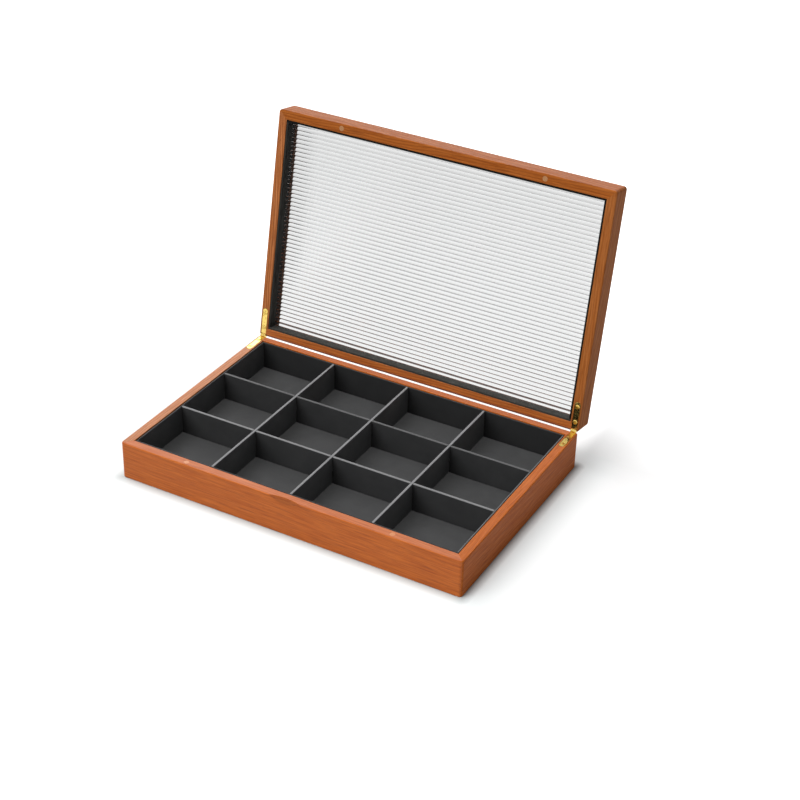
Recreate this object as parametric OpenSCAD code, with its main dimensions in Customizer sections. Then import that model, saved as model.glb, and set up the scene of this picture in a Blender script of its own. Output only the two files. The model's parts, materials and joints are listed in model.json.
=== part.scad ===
// Wooden display box: a lined tray of open cells under a lid with a reeded clear panel.
// The front faces -Y, the hinges are at the rear (+Y), and the underside rests on z = 0.
// Every lid piece is drawn closed, then swung about the hinge pins to the open angle.

/* [Box] */
// Width of the box
box_w = 350; // [300:1:420]
// Depth of the box from front to rear
box_d = 232; // [190:1:300]
// Height of the base frame
base_h = 37.5; // [30:0.5:60]
// Height of the lid frame
lid_h = 24; // [20:0.5:40]
// Thickness of the frame rails
rail_t = 9; // [8:0.5:12]
// Radius of the upright outer corners
corner_r = 3.2; // [0.5:0.1:4]
// Chamfer along the rear top edge of the base
base_chamfer = 2.2; // [1:0.1:3]
// Chamfer along the rear lower edge of the lid
lid_chamfer = 2.8; // [1:0.1:3.5]

/* [Lid swing] */
// Angle that the lid stands open at
open_angle = 100.5; // [60:0.5:105]
// Gap between the two frames with the lid shut
closed_gap = 0.5; // [0.5:0.1:1]
// Height of the hinge pins above the base frame
pivot_rise = 1.1; // [1:0.1:1.4]
// Distance of the hinge pins inside the rear face
pivot_inset = 1; // [0.5:0.1:1.2]

/* [Base bottom] */
// Thickness of the bottom panel
bottom_t = 4; // [3:0.5:6]
// Reach of the bottom panel under the rails
bottom_seat = 4; // [3:0.5:5]
// Gap around the bottom panel
bottom_gap = 0.1; // [0.05:0.05:0.5]

/* [Tray] */
// Thickness of the floor board
floor_t = 4.4; // [2:0.2:8]
// Thickness of the lining boards around the tray
lining_t = 1.4; // [1:0.1:3]
// Thickness of the dividers
divider_t = 2.4; // [1.6:0.1:4]
// Gap between the rails and the lining boards
tray_gap = 0.8; // [0.3:0.1:1.5]
// Distance of the tray's top below the rails
tray_drop = 0.5; // [0.2:0.1:2]
// Gap on each side where dividers cross
lap_gap = 0.3; // [0.05:0.05:0.4]
// Cells across the width
columns = 4; // [2:1:6]
// Cells from front to rear
rows = 3; // [2:1:5]

/* [Lid panel] */
// Thickness of the clear panel over its reeds
panel_t = 4; // [3:0.5:6]
// Height of the panel's groove above the lid's lower face
panel_level = 10; // [9.8:0.2:13]
// Depth of the panel's groove in the rails
panel_seat = 4; // [3:0.5:5]
// Gap around the panel
panel_gap = 0.3; // [0.1:0.1:0.6]
// Distance between reeds
reed_pitch = 4.2; // [3:0.1:8]
// Height of the reeds
reed_h = 0.8; // [0.4:0.1:1.2]

/* [Lid lining] */
// Thickness of the lid's lining strips
lid_lining_t = 2; // [1:0.1:3]
// Distance of the strips above the lid's lower face
lid_lining_drop = 0.5; // [0.2:0.1:2]

/* [Magnets] */
// Distance of each magnet from the middle of the box
magnet_x = 105.5; // [40:0.5:120]
// Diameter of the magnets and their plugs
magnet_d = 5; // [3:0.5:6]
// Height of the magnets
magnet_h = 3; // [2:0.5:5]
// Thickness of the plugs over the magnets
plug_t = 1.2; // [0.8:0.1:2]
// Gap around a magnet and its plug
magnet_gap = 0.05; // [0.02:0.01:0.1]

/* [Finger scoop] */
// Width of the scoop
scoop_w = 35; // [20:1:60]
// Reach of the scoop into the top face
scoop_in = 2.8; // [1.5:0.1:4]
// Drop of the scoop down the front face
scoop_drop = 5.6; // [3:0.1:10]

/* [Hinges] */
// Width of the leaves
leaf_w = 5.4; // [5:0.1:6]
// Length of the leaves from the rear face
leaf_l = 29.6; // [28:0.2:40]
// Thickness of the leaves
leaf_t = 1.6; // [1.4:0.1:2.5]
// Height of the leaves out of the wood
leaf_proud = 0.1; // [0:0.05:0.1]
// Gap around a leaf in its recess
leaf_gap = 0.1; // [0.05:0.05:0.2]
// Radius of the knuckles
knuckle_r = 2; // [1.8:0.1:2.4]
// Gap around a knuckle
knuckle_gap = 0.35; // [0.3:0.05:0.5]
// Width of the lid leaf's tongue
tongue_w = 1.8; // [1.4:0.1:2.2]
// Gap on each side of the tongue
tongue_gap = 0.12; // [0.1:0.01:0.2]
// Radius of the hinge pins
pin_r = 0.8; // [0.6:0.05:1]
// Gap around the pins
pin_gap = 0.05; // [0.02:0.01:0.1]

/* [Screws] */
// Distance of the rear screws from the rear face
screw_near = 10; // [8:0.2:12]
// Distance of the front screws from the rear face
screw_far = 25.2; // [20:0.2:25.4]
// Radius of the screw heads
head_r = 2.1; // [1.6:0.1:2.2]
// Radius of the screw shanks
shank_r = 1; // [0.7:0.05:1.2]
// Length of the screws
screw_l = 9; // [6:0.5:10]
// Gap around the screws
screw_gap = 0.05; // [0.02:0.01:0.1]
// Width of the cross slots
slot_w = 0.5; // [0.3:0.05:0.7]
// Depth of the cross slots
slot_depth = 0.5; // [0.3:0.05:0.8]

/* [Hidden] */
wood_colour = [0.69, 0.36, 0.18];
panel_wood_colour = [0.60, 0.40, 0.25];
lining_colour = [0.16, 0.16, 0.17];
floor_colour = [0.30, 0.30, 0.31];
brass_colour = [0.85, 0.68, 0.30];
clear_colour = [0.85, 0.92, 0.95, 0.5];
steel_colour = [0.75, 0.76, 0.78];
plug_colour = [0.78, 0.50, 0.32];

arc_fn = 48;
over = 1;

inner_w = box_w - 2 * rail_t;
inner_d = box_d - 2 * rail_t;

lid_z = base_h + closed_gap;
pivot_y = box_d / 2 - pivot_inset;
pivot_z = base_h + pivot_rise;

floor_z = bottom_t + floor_t;
tray_top = base_h - tray_drop;
tray_h = tray_top - floor_z;
tray_w = inner_w - 2 * tray_gap;
tray_d = inner_d - 2 * tray_gap;
cells_w = tray_w - 2 * lining_t;
cells_d = tray_d - 2 * lining_t;
cell_w = (cells_w - (columns - 1) * divider_t) / columns;
cell_d = (cells_d - (rows - 1) * divider_t) / rows;

groove_z = lid_z + panel_level;
panel_w = inner_w + 2 * panel_seat - 2 * panel_gap;
panel_d = inner_d + 2 * panel_seat - 2 * panel_gap;
reed_r = (pow(reed_pitch / 2, 2) + pow(reed_h, 2)) / (2 * reed_h);
reed_count = floor(panel_d / reed_pitch);

strip_z = lid_z + lid_lining_drop;
strip_h = groove_z - strip_z;

magnet_y = -box_d / 2 + rail_t / 2;

scoop_len = norm([scoop_in, scoop_drop]);
scoop_depth = scoop_in * scoop_drop / scoop_len;
scoop_r = (pow(scoop_w / 2, 2) + pow(scoop_depth, 2)) / (2 * scoop_depth);
scoop_tilt = atan(scoop_in / scoop_drop);

hinge_x = box_w / 2 - rail_t / 2;
leaf_end_y = box_d / 2 - leaf_l;
leaf_front_y = leaf_end_y + leaf_w / 2;
plate_rear_y = pivot_y - knuckle_r - knuckle_gap;
base_leaf_z = base_h + leaf_proud - leaf_t;
lid_leaf_z = lid_z - leaf_proud;
slot_span = tongue_w + 2 * tongue_gap;
head_h = head_r - shank_r;
tip_h = 2 * shank_r;

// Swings a closed lid piece about the hinge pins to the open angle
module on_lid() {
    translate([0, pivot_y, pivot_z])
        rotate([-open_angle, 0, 0])
            translate([0, -pivot_y, -pivot_z])
                children();
}

// Plan of a frame's outside, with round corners
module frame_plan(w, d) {
    square([w - 2 * corner_r, d], center = true);
    square([w, d - 2 * corner_r], center = true);
    for (x = [-1, 1], y = [-1, 1])
        translate([x * (w / 2 - corner_r), y * (d / 2 - corner_r)])
            circle(r = corner_r, $fn = arc_fn);
}

// Front rail of a w by d frame, mitred at both ends
module front_rail(w, d, z, h) {
    translate([0, 0, z])
        linear_extrude(height = h)
            intersection() {
                frame_plan(w, d);
                polygon([
                    [-w / 2, -d / 2],
                    [w / 2, -d / 2],
                    [w / 2 - rail_t, -d / 2 + rail_t],
                    [-w / 2 + rail_t, -d / 2 + rail_t]
                ]);
            }
}

// Any of the four rails of the box's frame
module rail(side, z, h) {
    if (side == "front") front_rail(box_w, box_d, z, h);
    if (side == "back") rotate([0, 0, 180]) front_rail(box_w, box_d, z, h);
    if (side == "left") rotate([0, 0, -90]) front_rail(box_d, box_w, z, h);
    if (side == "right") rotate([0, 0, 90]) front_rail(box_d, box_w, z, h);
}

// Block that fills the frame's opening and reaches into the rails
module inside_block(reach, z, h) {
    translate([-inner_w / 2 - reach, -inner_d / 2 - reach, z])
        cube([inner_w + 2 * reach, inner_d + 2 * reach, h]);
}

// 45 degree cut along the rear edge at height z
module rear_chamfer(z, size) {
    translate([0, box_d / 2, z])
        rotate([45, 0, 0])
            cube([box_w + 2 * over, size * sqrt(2), size * sqrt(2)], center = true);
}

// The two places of the magnets in the front rails
module at_magnets(z) {
    for (x = [-magnet_x, magnet_x])
        translate([x, magnet_y, z])
            children();
}

// Upright disc or hole for a magnet or a plug
module magnet_disc(z, h, gap) {
    at_magnets(z)
        cylinder(d = magnet_d + 2 * gap, h = h, $fn = arc_fn);
}

// ---- Hinges ----

// Plan of a leaf from its round front end to the given rear end
module leaf_plan(rear_y, gap) {
    translate([0, leaf_front_y])
        circle(d = leaf_w + 2 * gap, $fn = arc_fn);
    translate([-leaf_w / 2 - gap, leaf_front_y])
        square([leaf_w + 2 * gap, rear_y - leaf_front_y]);
}

// Round bar along the pins' axis
module pivot_bar(r, w) {
    translate([-w / 2, pivot_y, pivot_z])
        rotate([0, 90, 0])
            cylinder(r = r, h = w, $fn = arc_fn);
}

// One screw with its head's face at z = 0, driven towards -Z
module wood_screw() {
    difference() {
        union() {
            translate([0, 0, -head_h])
                cylinder(r1 = shank_r, r2 = head_r, h = head_h, $fn = arc_fn);
            translate([0, 0, tip_h - screw_l])
                cylinder(r = shank_r, h = screw_l - tip_h - head_h, $fn = arc_fn);
            translate([0, 0, -screw_l])
                cylinder(r1 = 0, r2 = shank_r, h = tip_h, $fn = arc_fn);
        }
        for (a = [0, 90])
            rotate([0, 0, a])
                translate([-head_r * 0.7, -slot_w / 2, -slot_depth])
                    cube([head_r * 1.4, slot_w, slot_depth + over]);
    }
}

// Room for one screw, with a countersink
module screw_hole() {
    translate([0, 0, -head_h])
        cylinder(r1 = shank_r + screw_gap, r2 = head_r + screw_gap, h = head_h, $fn = arc_fn);
    translate([0, 0, -screw_l - screw_gap])
        cylinder(r = shank_r + screw_gap, h = screw_l, $fn = arc_fn);
}

// Screw places along one base leaf
module at_base_screws() {
    for (y = [screw_near, screw_far])
        translate([0, box_d / 2 - y, base_h + leaf_proud])
            children();
}

// Screw places along one lid leaf, driven upwards into the closed lid
module at_lid_screws() {
    for (y = [screw_near, screw_far])
        translate([0, box_d / 2 - y, lid_leaf_z])
            rotate([180, 0, 0])
                children();
}

// Base leaf with two ears
module base_leaf() {
    difference() {
        union() {
            translate([0, 0, base_leaf_z])
                linear_extrude(height = leaf_t)
                    leaf_plan(pivot_y, 0);
            pivot_bar(knuckle_r, leaf_w);
        }
        translate([-slot_span / 2, plate_rear_y, base_leaf_z - over])
            cube([slot_span, 2 * (knuckle_r + knuckle_gap), leaf_t + pivot_rise + knuckle_r + 2 * over]);
        pivot_bar(pin_r + pin_gap, leaf_w + 2 * over);
        at_base_screws() screw_hole();
    }
}

// Lid leaf with one tongue, drawn closed
module lid_leaf() {
    difference() {
        union() {
            translate([0, 0, lid_leaf_z])
                linear_extrude(height = leaf_t)
                    leaf_plan(plate_rear_y, 0);
            translate([-tongue_w / 2, plate_rear_y - over, lid_leaf_z])
                cube([tongue_w, pivot_y - plate_rear_y + over, leaf_t]);
            pivot_bar(knuckle_r, tongue_w);
        }
        pivot_bar(pin_r + pin_gap, tongue_w + 2 * over);
        at_lid_screws() screw_hole();
    }
}

// Recess for one base leaf, its knuckle and its screws
module base_leaf_recess() {
    translate([0, 0, base_leaf_z])
        linear_extrude(height = leaf_t + over)
            leaf_plan(box_d / 2 + over, leaf_gap);
    at_base_screws() screw_hole();
}

// Recess for one closed lid leaf, the knuckle and the screws
module lid_leaf_recess() {
    translate([0, 0, lid_leaf_z - over])
        linear_extrude(height = leaf_t + over)
            leaf_plan(box_d / 2 + over, leaf_gap);
    pivot_bar(knuckle_r + knuckle_gap, leaf_w + 2 * knuckle_gap);
    at_lid_screws() screw_hole();
}

// The same thing at both hinges
module at_hinges() {
    for (x = [-hinge_x, hinge_x])
        translate([x, 0, 0])
            children();
}

// ---- Base frame ----

module base_rail(side) {
    color(wood_colour)
        difference() {
            rail(side, 0, base_h);
            inside_block(bottom_seat, -over, bottom_t + over);
            if (side != "front") rear_chamfer(base_h, base_chamfer);
            if (side != "front") at_hinges() base_leaf_recess();
            if (side == "front") finger_scoop();
            if (side == "front") magnet_disc(base_h - plug_t - magnet_h, plug_t + magnet_h + over, magnet_gap);
        }
}

// Hollow for a fingertip on the front rail's outer top edge
module finger_scoop() {
    translate([0, -box_d / 2, base_h])
        rotate([-scoop_tilt, 0, 0])
            translate([0, scoop_depth - scoop_r, 0])
                cylinder(r = scoop_r, h = 4 * scoop_len, center = true, $fn = arc_fn * 2);
}

module base_bottom_panel() {
    color(panel_wood_colour)
        inside_block(bottom_seat - bottom_gap, 0, bottom_t);
}

module base_magnets() {
    color(steel_colour)
        magnet_disc(base_h - plug_t - magnet_h, magnet_h, 0);
}

module base_magnet_plugs() {
    color(plug_colour)
        magnet_disc(base_h - plug_t, plug_t, 0);
}

// ---- Tray ----

module tray_floor_board() {
    color(floor_colour)
        inside_block(-tray_gap, bottom_t, floor_t);
}

// Front or rear lining board, at y = side times half the tray
module tray_lining_long(side) {
    color(lining_colour)
        translate([0, side * (tray_d - lining_t) / 2, floor_z + tray_h / 2])
            cube([tray_w, lining_t, tray_h], center = true);
}

// Left or right lining board, between the long ones
module tray_lining_short(side) {
    color(lining_colour)
        translate([side * (tray_w - lining_t) / 2, 0, floor_z + tray_h / 2])
            cube([lining_t, cells_d, tray_h], center = true);
}

// Middle of divider i, counted from the low end of a row of cells
function divider_place(i, cell, span) = -span / 2 + i * (cell + divider_t) - divider_t / 2;

// Front-to-rear divider, slotted from below
module divider_short(i) {
    x = divider_place(i, cell_w, cells_w);
    color(lining_colour)
        difference() {
            translate([x - divider_t / 2, -cells_d / 2, floor_z])
                cube([divider_t, cells_d, tray_h]);
            for (j = [1 : rows - 1])
                translate([x, divider_place(j, cell_d, cells_d), floor_z])
                    lap_slot(-over);
        }
}

// Left-to-right divider, slotted from above
module divider_long(j) {
    y = divider_place(j, cell_d, cells_d);
    color(lining_colour)
        difference() {
            translate([-cells_w / 2, y - divider_t / 2, floor_z])
                cube([cells_w, divider_t, tray_h]);
            for (i = [1 : columns - 1])
                translate([divider_place(i, cell_w, cells_w), y, floor_z])
                    lap_slot(tray_h / 2 - lap_gap);
        }
}

// Half-height slot where two dividers cross
module lap_slot(z) {
    slot = divider_t + 2 * lap_gap;
    translate([-slot / 2, -slot / 2, z])
        cube([slot, slot, tray_h / 2 + over + lap_gap]);
}

// ---- Lid, drawn closed ----

module lid_rail(side) {
    color(wood_colour)
        on_lid()
            difference() {
                rail(side, lid_z, lid_h);
                inside_block(panel_seat, groove_z, panel_t + panel_gap);
                if (side != "front") rear_chamfer(lid_z, lid_chamfer);
                if (side != "front") at_hinges() lid_leaf_recess();
                if (side == "front") magnet_disc(lid_z - over, plug_t + magnet_h + over, magnet_gap);
            }
}

// Section of the clear panel with its reeds above
module panel_section() {
    intersection() {
        translate([-panel_d / 2, 0])
            square([panel_d, panel_t]);
        union() {
            translate([-panel_d / 2, 0])
                square([panel_d, panel_t - reed_h]);
            for (i = [0 : reed_count - 1])
                translate([(i - (reed_count - 1) / 2) * reed_pitch, panel_t - reed_r])
                    circle(r = reed_r, $fn = arc_fn);
        }
    }
}

module lid_reeded_panel() {
    color(clear_colour)
        on_lid()
            translate([-panel_w / 2, 0, groove_z])
                rotate([90, 0, 90])
                    linear_extrude(height = panel_w)
                        panel_section();
}

// Front or rear lining strip of the lid
module lid_lining_long(side) {
    color(lining_colour)
        on_lid()
            translate([0, side * (inner_d - lid_lining_t) / 2, strip_z + strip_h / 2])
                cube([inner_w, lid_lining_t, strip_h], center = true);
}

// Left or right lining strip of the lid
module lid_lining_short(side) {
    color(lining_colour)
        on_lid()
            translate([side * (inner_w - lid_lining_t) / 2, 0, strip_z + strip_h / 2])
                cube([lid_lining_t, inner_d - 2 * lid_lining_t, strip_h], center = true);
}

module lid_magnets() {
    color(steel_colour)
        on_lid()
            magnet_disc(lid_z + plug_t, magnet_h, 0);
}

module lid_magnet_plugs() {
    color(plug_colour)
        on_lid()
            magnet_disc(lid_z, plug_t, 0);
}

// ---- Hinge pieces in place ----

module hinge_base_leaf(side) {
    color(brass_colour)
        translate([side * hinge_x, 0, 0])
            base_leaf();
}

module hinge_lid_leaf(side) {
    color(brass_colour)
        on_lid()
            translate([side * hinge_x, 0, 0])
                lid_leaf();
}

module hinge_pin(side) {
    color(brass_colour)
        translate([side * hinge_x, 0, 0])
            pivot_bar(pin_r, leaf_w);
}

module base_hinge_screws() {
    color(brass_colour)
        at_hinges() at_base_screws() wood_screw();
}

module lid_hinge_screws() {
    color(brass_colour)
        on_lid()
            at_hinges() at_lid_screws() wood_screw();
}

base_rail("front");  // base_front_rail
base_rail("back");  // base_back_rail
base_rail("left");  // base_left_rail
base_rail("right");  // base_right_rail
base_bottom_panel();
tray_floor_board();
tray_lining_long(-1);  // tray_lining_front
tray_lining_long(1);  // tray_lining_back
tray_lining_short(-1);  // tray_lining_left
tray_lining_short(1);  // tray_lining_right
for (i = [1 : columns - 1])
    divider_short(i);
for (j = [1 : rows - 1])
    divider_long(j);
base_magnets();
base_magnet_plugs();
hinge_base_leaf(-1);  // hinge_base_leaf_left
hinge_base_leaf(1);  // hinge_base_leaf_right
hinge_pin(-1);  // hinge_pin_left
hinge_pin(1);  // hinge_pin_right
base_hinge_screws();
lid_rail("front");  // lid_front_rail
lid_rail("back");  // lid_back_rail
lid_rail("left");  // lid_left_rail
lid_rail("right");  // lid_right_rail
lid_reeded_panel();
lid_lining_long(-1);  // lid_lining_front
lid_lining_long(1);  // lid_lining_back
lid_lining_short(-1);  // lid_lining_left
lid_lining_short(1);  // lid_lining_right
lid_magnets();
lid_magnet_plugs();
hinge_lid_leaf(-1);  // hinge_lid_leaf_left
hinge_lid_leaf(1);  // hinge_lid_leaf_right
lid_hinge_screws();
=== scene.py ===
# A wooden jewellery box standing open: a lined tray of cells in its base, a reeded clear panel in its lid.
# The sections follow the order in which such a box is put together: base, tray, hinges, lid, studio.

import json
import math

import bmesh
import bpy
from mathutils import Matrix, Vector


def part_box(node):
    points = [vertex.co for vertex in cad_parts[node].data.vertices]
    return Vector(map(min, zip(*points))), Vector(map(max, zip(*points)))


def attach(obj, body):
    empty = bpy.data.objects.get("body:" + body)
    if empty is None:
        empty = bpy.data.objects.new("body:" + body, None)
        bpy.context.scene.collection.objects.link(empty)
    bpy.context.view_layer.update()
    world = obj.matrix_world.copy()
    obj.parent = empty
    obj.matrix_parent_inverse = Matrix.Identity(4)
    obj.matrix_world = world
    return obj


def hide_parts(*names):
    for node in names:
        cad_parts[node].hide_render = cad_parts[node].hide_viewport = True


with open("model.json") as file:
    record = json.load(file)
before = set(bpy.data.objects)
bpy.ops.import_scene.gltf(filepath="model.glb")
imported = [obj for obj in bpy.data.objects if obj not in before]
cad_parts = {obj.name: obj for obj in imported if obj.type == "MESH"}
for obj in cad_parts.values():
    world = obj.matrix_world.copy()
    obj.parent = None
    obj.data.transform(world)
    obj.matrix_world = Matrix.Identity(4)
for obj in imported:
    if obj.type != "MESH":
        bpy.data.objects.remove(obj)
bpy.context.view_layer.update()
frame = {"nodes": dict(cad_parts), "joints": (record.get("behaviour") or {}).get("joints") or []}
MM = 0.001


# ---- Base frame ----
# Four rails of straight-grained hardwood, mitred at the corners, glued into a ring, sanded and lacquered.
# Each rail has its own board, with its own tint, figure and gloss. The tints and gloss are partly painted
# light: the left rail's tint is whitened, a painted sheen on its top, the front's is made less blue to offset
# the reflection of its higher gloss, and the right rail's lower gloss paints shade on the sheen it would
# catch. A rebate underneath holds the bottom panel, and the rear edge is chamfered so that the open lid
# clears it.

corner_round = 3.2 * MM
outer_ease = 1.0 * MM
inner_ease = 0.4 * MM
base_chamfer = 2.2 * MM
bottom_fit = 0.1 * MM
RAIL_TURN = {"front": 0, "right": 90, "back": 180, "left": 270}
# Painted light: tints and shines differ per rail by how light falls on each; the left tint is a painted
# sheen.
BASE_BOARDS = {
    "front": {"plank": 1.0, "tone_and_painted_light": (0.96, 0.89, 0.36), "figure": 0.12, "shine": 1.46},
    "right": {"plank": 2.3, "tone_and_painted_light": (0.98, 0.98, 0.98), "figure": 0.12, "shine": 1.20},
    "back": {"plank": 3.9, "tone_and_painted_light": (0.98, 0.98, 0.98), "figure": 0.12, "shine": 1.42},
    "left": {"plank": 5.2, "tone_and_painted_light": (0.95, 1.28, 2.90), "figure": 0.40, "shine": 1.42},
}

front_low, front_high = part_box("base_front_rail")
rail_t = front_high.y - front_low.y
base_size = Vector((2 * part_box("base_right_rail")[1].x, -2 * front_low.y, front_high.z))
rear_y = base_size.y / 2
bottom_low, bottom_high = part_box("base_bottom_panel")


def block(low, high):
    """A box between two corners."""
    mesh = bmesh.new()
    bmesh.ops.create_cube(mesh, size=1)
    bmesh.ops.scale(mesh, vec=high - low, verts=mesh.verts)
    bmesh.ops.translate(mesh, vec=(low + high) / 2, verts=mesh.verts)
    return mesh


def near(a, b):
    return abs(a - b) < 0.002 * MM


def edges_where(mesh, test):
    """The edges with both ends where the test holds."""
    return [edge for edge in mesh.edges if all(test(vert.co) for vert in edge.verts)]


def upright_edges(mesh):
    return [e for e in mesh.edges if not near(e.verts[0].co.z, e.verts[1].co.z)]


def level_edges(mesh):
    return [e for e in mesh.edges if near(e.verts[0].co.z, e.verts[1].co.z)]


def ease(mesh, edges, radius, steps=3):
    """Sands these edges round."""
    bmesh.ops.bevel(
        mesh, geom=edges, offset=radius, offset_type="OFFSET", segments=steps,
        profile=0.5, affect="EDGES", clamp_overlap=False, material=-1,
    )


def trim(mesh, point, normal):
    """Saws through the plane at this point, and takes away the side that the normal points to."""
    everything = mesh.verts[:] + mesh.edges[:] + mesh.faces[:]
    cut = bmesh.ops.bisect_plane(
        mesh, geom=everything, dist=1e-8, plane_co=point, plane_no=normal, clear_outer=True
    )
    rim = [part for part in cut["geom_cut"] if isinstance(part, bmesh.types.BMEdge)]
    bmesh.ops.holes_fill(mesh, edges=rim)


def combine(first, second, how):
    """Takes the second shape out of the first, or joins it on, and returns the outcome."""
    benches = []
    for mesh in (first, second):
        data = bpy.data.meshes.new("bench")
        mesh.to_mesh(data)
        mesh.free()
        benches.append(bpy.data.objects.new("bench", data))
        bpy.context.scene.collection.objects.link(benches[-1])
    change = benches[0].modifiers.new("change", "BOOLEAN")
    change.operation = how
    change.solver = "EXACT"
    change.object = benches[1]
    outcome = bmesh.new()
    outcome.from_object(benches[0], bpy.context.evaluated_depsgraph_get())
    for bench in benches:
        bpy.data.meshes.remove(bench.data)
    return outcome


def mitred_rail(size, side, cut_depth, cut_low, cut_high):
    """One rail of a ring of this size, standing at zero height, with a rebate or groove in its inner face."""
    across, deep = (size.x, size.y) if side in ("front", "back") else (size.y, size.x)
    inner_y = rail_t - deep / 2
    cut_y = inner_y - cut_depth
    wood = block(Vector((-across / 2, -deep / 2, 0)), Vector((across / 2, deep / 2, size.z)))
    ease(wood, upright_edges(wood), corner_round, steps=8)
    ease(wood, level_edges(wood), outer_ease)
    for end in (-1, 1):
        trim(wood, Vector((end * across / 2, -deep / 2, 0)), Vector((end, 1, 0)))
    trim(wood, Vector((0, inner_y, 0)), Vector((0, 1, 0)))
    cutter = block(Vector((-across, cut_y, cut_low)), Vector((across, 0, cut_high)))
    wood = combine(wood, cutter, "DIFFERENCE")
    for y in (inner_y, cut_y):
        for z in (0, size.z):
            ease(wood, edges_where(wood, lambda at: near(at.y, y) and near(at.z, z)), inner_ease)
    side_turn = Matrix.Rotation(math.radians(RAIL_TURN[side]), 3, "Z")
    bmesh.ops.rotate(wood, cent=Vector(), matrix=side_turn, verts=wood.verts)
    return wood


def node(tree, kind, inputs, **settings):
    """A shader node, its inputs set to a value or joined to another node's output."""
    made = tree.nodes.new("ShaderNode" + kind)
    for name, value in settings.items():
        setattr(made, name, value)
    for name, value in inputs.items():
        if isinstance(value, bpy.types.NodeSocket):
            tree.links.new(value, made.inputs[name])
        else:
            made.inputs[name].default_value = value
    return made


def new_finish(name, roughness, **constants):
    """A material with its main shader, and the values that are the same all over the surface."""
    material = bpy.data.materials.new(name)
    material.use_nodes = True
    shader = material.node_tree.nodes["Principled BSDF"]
    shader.inputs["Roughness"].default_value = roughness
    for socket, value in constants.items():
        shader.inputs[socket.replace("_", " ")].default_value = value
    return material, material.node_tree, shader


def spread(tree, value, low, high, to_low=0.0, to_high=1.0):
    """Maps the range from low to high onto a new one, and keeps it inside."""
    inputs = {"Value": value, "From Min": low, "From Max": high, "To Min": to_low, "To Max": to_high}
    return node(tree, "MapRange", inputs).outputs["Result"]


def times(tree, first, second):
    return node(tree, "Math", {0: first, 1: second}, operation="MULTIPLY").outputs[0]


def plus(tree, first, second):
    return node(tree, "Math", {0: first, 1: second}, operation="ADD").outputs[0]


def blend_colours(tree, factor, first, second):
    mixer = node(tree, "Mix", {"Factor": factor}, data_type="RGBA")
    for socket, colour in ((mixer.inputs[6], first), (mixer.inputs[7], second)):
        if isinstance(colour, bpy.types.NodeSocket):
            tree.links.new(colour, socket)
        else:
            socket.default_value = (*colour, 1)
    return mixer.outputs[2]


def wood_finish(name, lie, plank, tone_and_painted_light, figure, shine, painted_shade=None):
    """Lacquered hardwood. lie says how the rail lies from its bench position, with the grain along X.
    plank picks its board, the tint shifts the wood's colour, partly as painted light and shade per rail,
    figure is the strength of its growth rings, and shine the optical density of its lacquer, lowered on some
    rails to paint shade on their sheen. The last argument makes a mask where a near-black painted shade goes."""
    light, dark, mark = (
        [share * part for share, part in zip(tone_and_painted_light, colour)]
        for colour in ((0.52, 0.132, 0.014), (0.39, 0.085, 0.007), (0.17, 0.030, 0.003))
    )
    ring_pitch = 2.6 * MM
    ring_size, ring_wander, ring_run = 28, 26, 0.3
    ring_step = Vector((0.05, 1, 0.4)) * math.tau / ring_pitch
    fibre_size, fibre_run = 800, 0.04
    streak_size, streak_run = 1100, 0.035
    pore_size, pore_run = 2600, 0.07
    streak_strength, pore_strength = 0.45, 0.5
    painted_shade_colour = (0.010, 0.009, 0.009)
    material, tree, shader = new_finish(name, 0.5, IOR=shine)
    place = node(tree, "TexCoord", {}).outputs["Object"]
    bench = {"Vector": place, "Location": lie.to_translation(), "Rotation": lie.to_euler()}
    on_bench = node(tree, "Mapping", bench, vector_type="TEXTURE").outputs["Vector"]

    def grain(size, run, detail):
        drawn_out = node(tree, "Mapping", {"Vector": on_bench, "Scale": (run, 1, 1)}).outputs["Vector"]
        inputs = {"Vector": drawn_out, "W": plank, "Scale": size, "Detail": detail, "Roughness": 0.55}
        return node(tree, "TexNoise", inputs, noise_dimensions="4D").outputs["Fac"]

    rows = node(tree, "VectorMath", {0: on_bench, 1: ring_step}, operation="DOT_PRODUCT").outputs["Value"]
    wandering = times(tree, grain(ring_size, ring_run, 2), ring_wander)
    count = plus(tree, rows, wandering)
    rings = spread(tree, node(tree, "Math", {0: count}, operation="SINE").outputs[0], 0.2, 1)
    fibres = spread(tree, grain(fibre_size, fibre_run, 4), 0.36, 0.64)
    streaks = spread(tree, grain(streak_size, streak_run, 2), 0.56, 0.66)
    pores = spread(tree, grain(pore_size, pore_run, 2), 0.60, 0.72)
    colour = blend_colours(tree, fibres, light, dark)
    for share, strength in ((rings, figure), (streaks, streak_strength), (pores, pore_strength)):
        colour = blend_colours(tree, times(tree, share, strength), colour, mark)
    # Painted shade: the masked places are blended toward a near-black colour.
    if painted_shade:
        colour = blend_colours(tree, painted_shade(tree, on_bench), colour, painted_shade_colour)
    tree.links.new(colour, shader.inputs["Base Color"])
    tree.links.new(spread(tree, fibres, 0, 1, 0.44, 0.56), shader.inputs["Roughness"])
    relief = node(tree, "Math", {0: fibres, 1: pores}, operation="SUBTRACT").outputs[0]
    bump = node(tree, "Bump", {"Height": relief, "Strength": 0.25, "Distance": 0.05 * MM})
    tree.links.new(bump.outputs["Normal"], shader.inputs["Normal"])
    return material


def piece(name, mesh, finish, body, slot, *stands_for):
    """Makes an object of the finished mesh, which rides on its body in place of its CAD nodes."""
    data = bpy.data.meshes.new(name)
    mesh.to_mesh(data)
    mesh.free()
    data.shade_smooth()
    data.set_sharp_from_angle(angle=math.radians(35))
    data.materials.append(finish)
    made = bpy.data.objects.new(name, data)
    bpy.context.scene.collection.objects.link(made)
    made.modifiers.new("even_shading", "WEIGHTED_NORMAL").keep_sharp = True
    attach(made, body)
    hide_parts(*stands_for)
    return made


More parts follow.
